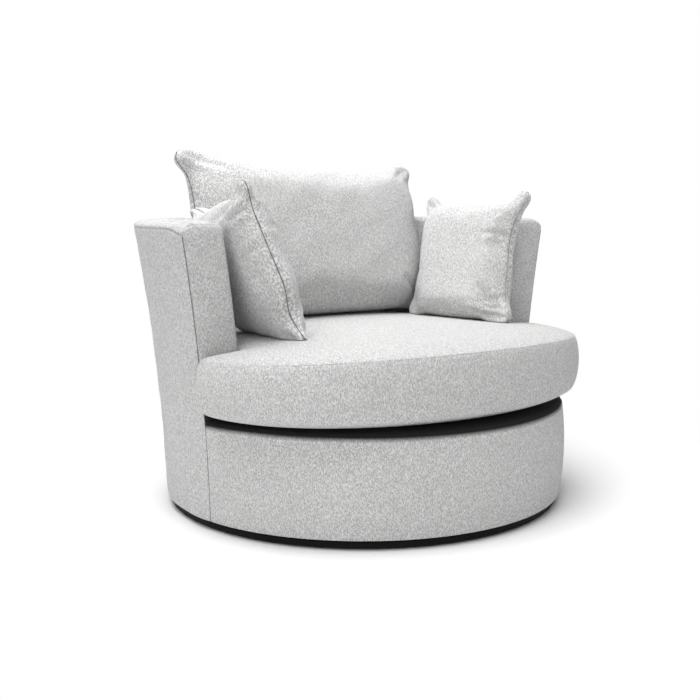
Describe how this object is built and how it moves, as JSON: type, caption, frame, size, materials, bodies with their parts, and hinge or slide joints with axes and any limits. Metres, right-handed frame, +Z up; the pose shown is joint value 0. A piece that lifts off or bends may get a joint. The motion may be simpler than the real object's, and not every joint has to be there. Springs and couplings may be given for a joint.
{
  "type": "swivel cuddle chair",
  "caption": "Round upholstered swivel chair: a flared tub with flat arm fronts round a deep T-shaped seat cushion, with a large loose back cushion and smaller scatter cushions.",
  "frame": {"origin": "middle of the bounding box at floor level, with the swivel axis 27 mm in front of it", "axes": "+Z up, the front of the seat faces -Y, +X is on the right of someone looking at the front, and left and right in the names are meant so"},
  "size_m": [1.126, 1.0708, 0.8577],
  "materials": {
    "cover_fabric": "plain light grey linen-look weave with fine slubs",
    "platform_fabric": "black platform cloth",
    "plinth": "board painted matt black",
    "glide": "dark nylon",
    "steel": "zinc plated",
    "timber": "sawn softwood and plywood",
    "panel": "thin hardboard",
    "foam": "upholstery foam",
    "fibre": "white fibre filling",
    "zip": "grey coil zip"
  },
  "bodies": {
    "plinth": {"plinth_disc": "plinth", "floor_glide_1": "glide", "floor_glide_2": "glide", "floor_glide_3": "glide", "floor_glide_4": "glide", "floor_glide_5": "glide", "swivel_lower_race": "steel", "plinth_screw_1": "steel", "plinth_screw_2": "steel", "plinth_screw_3": "steel"},
    "ball_cage": {"swivel_ball_cage": "steel"},
    "chair": {"swivel_upper_race": "steel", "board_screw_1": "steel", "board_screw_2": "steel", "board_screw_3": "steel", "base_board": "timber", "tub_rib_1": "timber", "tub_rib_2": "timber", "tub_rib_3": "timber", "tub_rib_4": "timber", "tub_rib_5": "timber", "arm_front_board_left": "timber", "arm_front_board_right": "timber", "rim_former": "timber", "front_rail": "timber", "front_border_padding": "foam", "front_border_cover": "cover_fabric", "seat_frame": "timber", "seat_spring_1": "steel", "seat_spring_2": "steel", "seat_spring_3": "steel", "seat_spring_4": "steel", "spring_clip_front_1": "steel", "spring_clip_front_2": "steel", "spring_clip_front_3": "steel", "spring_clip_front_4": "steel", "spring_clip_rear_1": "steel", "spring_clip_rear_2": "steel", "spring_clip_rear_3": "steel", "spring_clip_rear_4": "steel", "deck_pad": "platform_fabric", "outside_panel": "panel", "outside_cover": "cover_fabric", "tub_padding": "foam", "rim_padding": "foam", "inside_cover": "cover_fabric", "arm_facing_left": "cover_fabric", "arm_facing_right": "cover_fabric"},
    "seat_cushion": {"seat_cushion_cover": "cover_fabric", "seat_cushion_foam": "foam", "seat_cushion_zip": "zip"},
    "back_cushion": {"back_cushion_cover": "cover_fabric", "back_cushion_fibre": "fibre", "back_cushion_zip": "zip"},
    "scatter_cushion_left": {"scatter_cushion_left_cover": "cover_fabric", "scatter_cushion_left_fibre": "fibre", "scatter_cushion_left_zip": "zip"},
    "scatter_cushion_right": {"scatter_cushion_right_cover": "cover_fabric", "scatter_cushion_right_fibre": "fibre", "scatter_cushion_right_zip": "zip"}
  },
  "joints": [
    {"name": "swivel", "type": "hinge", "parent": "plinth", "child": "chair", "pos_m": [0, -0.027, 0.027], "axis": [0, 0, 1], "continuous": true},
    {"name": "cage_turn", "type": "hinge", "parent": "plinth", "child": "ball_cage", "pos_m": [0, -0.027, 0.027], "axis": [0, 0, 1], "continuous": true},
    {"name": "seat_cushion_lift", "type": "slide", "parent": "chair", "child": "seat_cushion", "axis": [0, 0, 1], "range_m": [0, 0.45]},
    {"name": "back_cushion_lift", "type": "slide", "parent": "seat_cushion", "child": "back_cushion", "axis": [0, 0, 1], "range_m": [0, 0.3]},
    {"name": "left_scatter_lift", "type": "slide", "parent": "seat_cushion", "child": "scatter_cushion_left", "axis": [0, 0, 1], "range_m": [0, 0.3]},
    {"name": "right_scatter_lift", "type": "slide", "parent": "seat_cushion", "child": "scatter_cushion_right", "axis": [0, 0, 1], "range_m": [0, 0.3]}
  ],
  "couplings": [
    {"joint": "cage_turn", "follows": "swivel", "ratio": 0.5}
  ]
}
